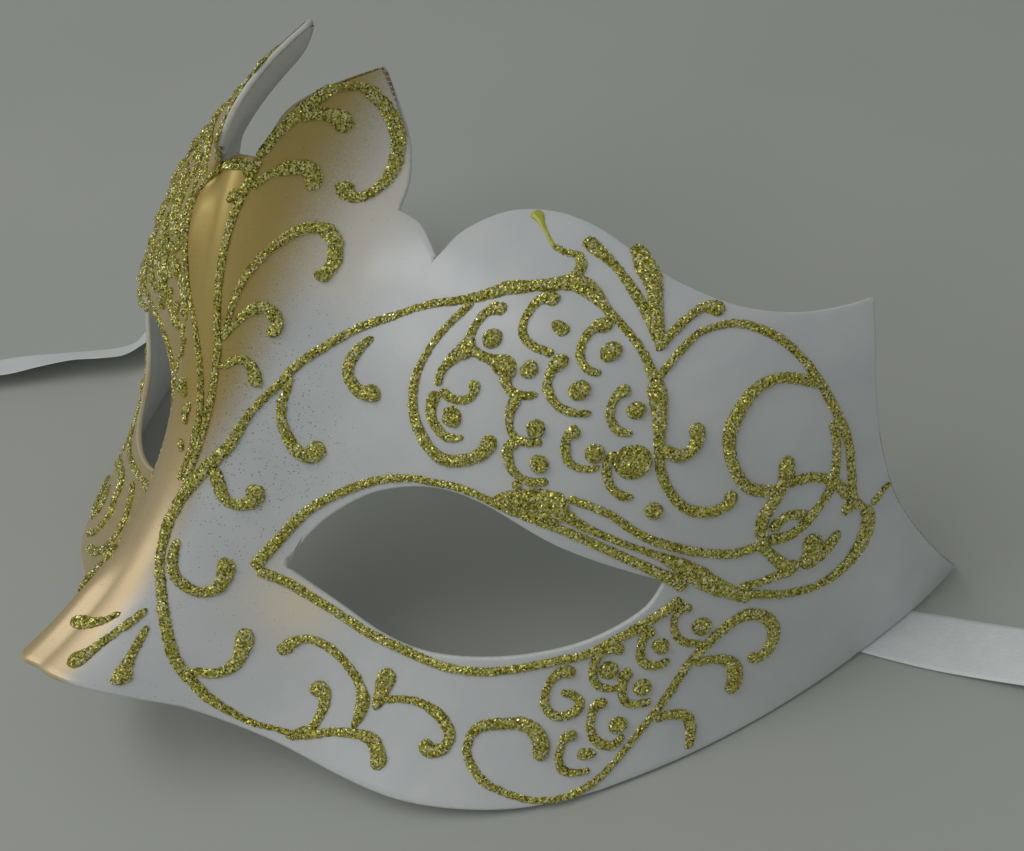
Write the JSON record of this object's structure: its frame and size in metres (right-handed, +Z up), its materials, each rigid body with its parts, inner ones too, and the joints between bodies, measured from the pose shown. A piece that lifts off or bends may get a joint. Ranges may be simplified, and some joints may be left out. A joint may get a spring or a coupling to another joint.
{
  "type": "venetian eye mask",
  "caption": "Pearly white Venetian eye mask with a gold-sprayed nose ridge, raised gold glitter scrollwork, a petalled crest and white satin tie ribbons.",
  "frame": {"origin": "the middle of the shell's footprint, on the surface that its lower rim rests on", "axes": "+X towards the wearer's left side, -Y is the way the painted face looks, +Z up"},
  "size_m": [0.3266, 0.1591, 0.1018],
  "materials": {
    "pearl_shell": "pearly satin-gloss moulded shell, sprayed ochre gold over the nose and brow",
    "gold_glitter": "raised lines of olive gold glitter glue",
    "satin_ribbon": "white satin ribbon with a woven edge"
  },
  "bodies": {
    "root": {"mask_shell": "pearl_shell", "left_ribbon": "satin_ribbon", "left_ribbon_roll": "satin_ribbon", "right_ribbon": "satin_ribbon", "right_ribbon_roll": "satin_ribbon"}
  },
  "joints": []
}
